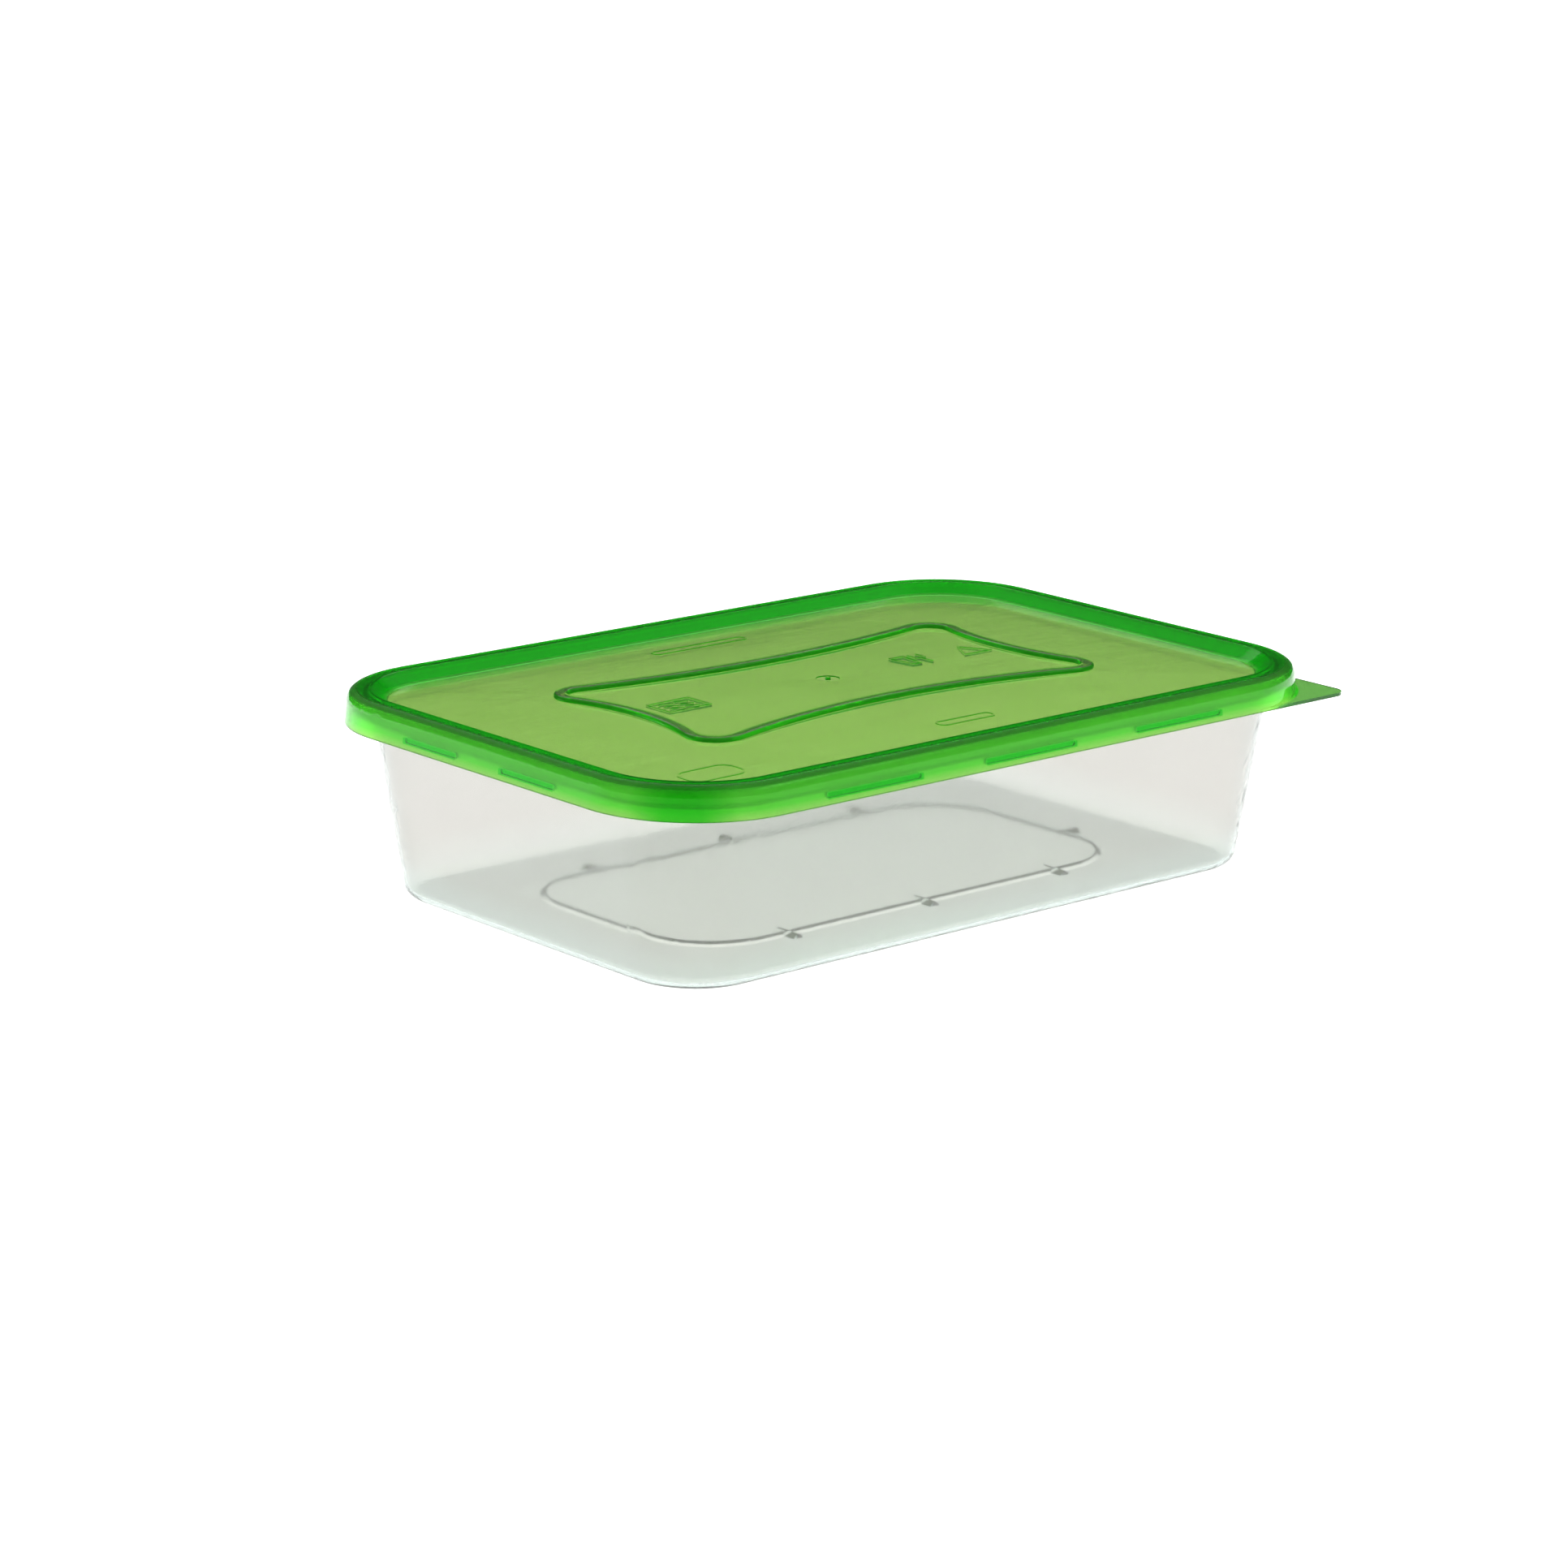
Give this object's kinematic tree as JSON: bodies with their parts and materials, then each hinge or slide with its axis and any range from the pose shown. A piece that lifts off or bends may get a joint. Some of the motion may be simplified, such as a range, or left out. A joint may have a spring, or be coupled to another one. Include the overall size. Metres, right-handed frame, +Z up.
{
  "type": "snap lid food container",
  "caption": "Low rectangular food tub with drafted, frosted clear walls and a translucent green snap lid with a recessed panel, stacking bead and corner pull tab.",
  "frame": {"origin": "middle of the footprint, on the surface the tub stands on", "axes": "+X along the long side, +Y along the short side, +Z up; the lid's pull tab is at the +X, -Y corner"},
  "size_m": [0.172, 0.1164, 0.0412],
  "materials": {
    "tub_plastic": "clear polypropylene, faintly frosted",
    "lid_plastic": "translucent green polypropylene, glossy"
  },
  "bodies": {
    "tub": {"container_tub": "tub_plastic"},
    "lid": {"snap_lid": "lid_plastic"}
  },
  "joints": [
    {"name": "lid_lift", "type": "slide", "parent": "tub", "child": "lid", "axis": [0, 0, 1], "range_m": [0, 0.07]}
  ]
}
